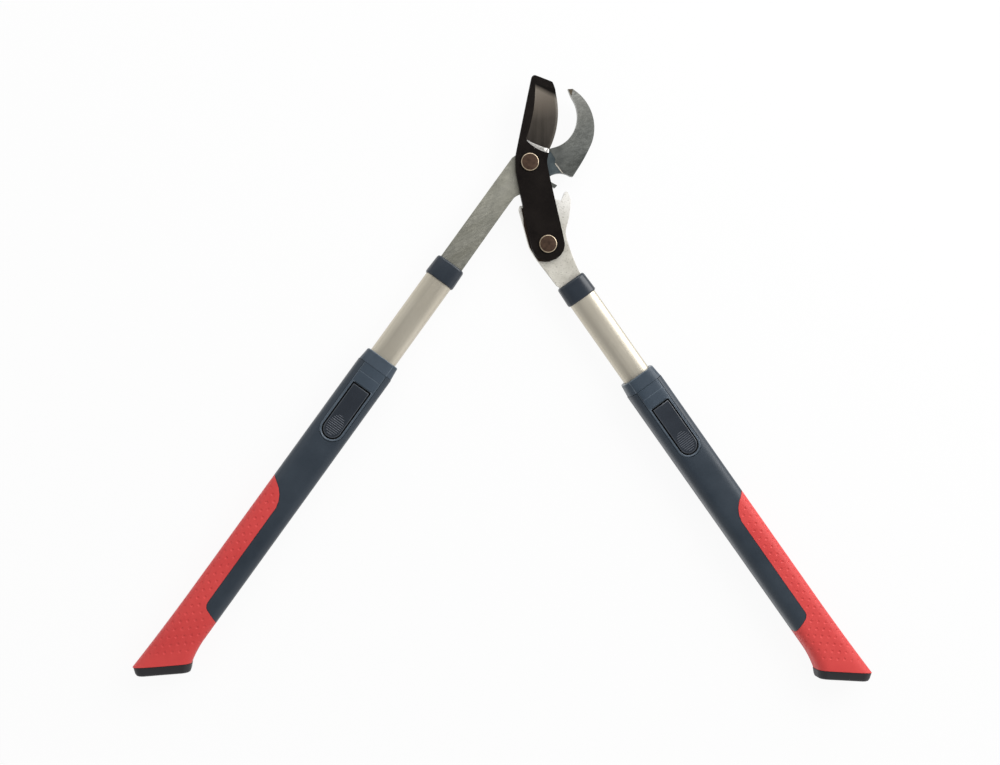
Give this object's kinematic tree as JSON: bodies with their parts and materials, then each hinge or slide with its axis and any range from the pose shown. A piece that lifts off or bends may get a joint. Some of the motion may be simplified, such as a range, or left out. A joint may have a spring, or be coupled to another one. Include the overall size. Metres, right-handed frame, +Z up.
{
  "type": "telescopic lopper",
  "caption": "Geared bypass lopper with a black coated blade, a hooked counter blade and two telescopic handles with lock buttons and red grips.",
  "frame": {"origin": "centre of the bounding box on the surface that the tool lies on, at rest as in the picture", "axes": "+X across the tool from the left handle to the right one, +Y from the handles to the head, +Z up from the surface, towards the side with the lock buttons"},
  "size_m": [0.6962, 0.5736, 0.0323],
  "materials": {
    "black_coated_steel": "satin black non-stick coating",
    "ground_steel": "ground, with diagonal grain",
    "cast_steel": "matte, finely blasted",
    "browned_steel": "browned face with a bright rim",
    "bright_steel": "turned",
    "bush_bronze": "turned",
    "black_nylon": "moulded",
    "satin_aluminium": "satin",
    "navy_shell_plastic": "fine moulded grain",
    "navy_panel_plastic": "fine moulded grain",
    "navy_collar_plastic": "fine moulded grain",
    "dark_button_plastic": "smooth",
    "red_grip_rubber": "soft, dimpled",
    "charcoal_cap_rubber": "matte"
  },
  "bodies": {
    "hook_side": {"hook_arm": "ground_steel", "upper_pivot_bush": "bush_bronze", "left_collar": "navy_collar_plastic", "left_inner_tube": "satin_aluminium", "left_tang_insert": "black_nylon", "left_upper_tang_pin": "bright_steel", "left_lower_tang_pin": "bright_steel", "left_tube_end_plug": "black_nylon"},
    "blade_side": {"blade": "black_coated_steel", "rear_link_plate": "black_coated_steel", "upper_pivot_pin": "browned_steel", "lower_pivot_pin": "browned_steel", "upper_spacer_ring": "black_nylon", "lower_spacer_ring": "black_nylon", "upper_rear_washer": "bright_steel", "lower_rear_washer": "bright_steel"},
    "right_arm_side": {"right_arm": "cast_steel", "lower_pivot_bush": "bush_bronze", "right_collar": "navy_collar_plastic", "right_inner_tube": "satin_aluminium", "right_tang_insert": "black_nylon", "right_upper_tang_pin": "bright_steel", "right_lower_tang_pin": "bright_steel", "right_tube_end_plug": "black_nylon"},
    "left_handle": {"left_handle_shell": "navy_shell_plastic", "left_outer_tube": "satin_aluminium", "left_lock_housing": "navy_panel_plastic", "left_grip": "red_grip_rubber", "left_end_cap": "charcoal_cap_rubber", "left_hinge_pin": "bright_steel", "left_button_spring": "bright_steel"},
    "right_handle": {"right_handle_shell": "navy_shell_plastic", "right_outer_tube": "satin_aluminium", "right_lock_housing": "navy_panel_plastic", "right_grip": "red_grip_rubber", "right_end_cap": "charcoal_cap_rubber", "right_hinge_pin": "bright_steel", "right_button_spring": "bright_steel"},
    "left_button": {"left_lock_button": "dark_button_plastic", "left_lock_pin": "bright_steel"},
    "right_button": {"right_lock_button": "dark_button_plastic", "right_lock_pin": "bright_steel"}
  },
  "joints": [
    {"name": "blade_pivot", "type": "hinge", "parent": "hook_side", "child": "blade_side", "pos_m": [0.01818, 0.20536, 0.016], "axis": [0, 0, 1], "range_deg": [-24.5, 22]},
    {"name": "right_arm_pivot", "type": "hinge", "parent": "blade_side", "child": "right_arm_side", "pos_m": [0.03531, 0.12875, 0.016], "axis": [0, 0, 1], "range_deg": [-16.35, 14.7]},
    {"name": "left_handle_slide", "type": "slide", "parent": "hook_side", "child": "left_handle", "axis": [-0.585, -0.8111, 0], "range_m": [0, 0.24]},
    {"name": "right_handle_slide", "type": "slide", "parent": "right_arm_side", "child": "right_handle", "axis": [0.5807, -0.8141, 0], "range_m": [0, 0.24]},
    {"name": "left_button_press", "type": "hinge", "parent": "left_handle", "child": "left_button", "pos_m": [-0.15703, -0.03125, 0.0295], "axis": [0.8111, -0.585, 0], "range_deg": [0, 4.5], "stiffness_Nm_per_rad": 1.5, "springref_deg": -1.15, "deforming": ["left_button_spring"]},
    {"name": "right_button_press", "type": "hinge", "parent": "right_handle", "child": "right_button", "pos_m": [0.15824, -0.04704, 0.0295], "axis": [0.8141, 0.5807, 0], "range_deg": [0, 4.5], "stiffness_Nm_per_rad": 1.5, "springref_deg": -1.15, "deforming": ["right_button_spring"]}
  ],
  "couplings": [
    {"joint": "right_arm_pivot", "follows": "blade_pivot", "ratio": 0.66667}
  ]
}
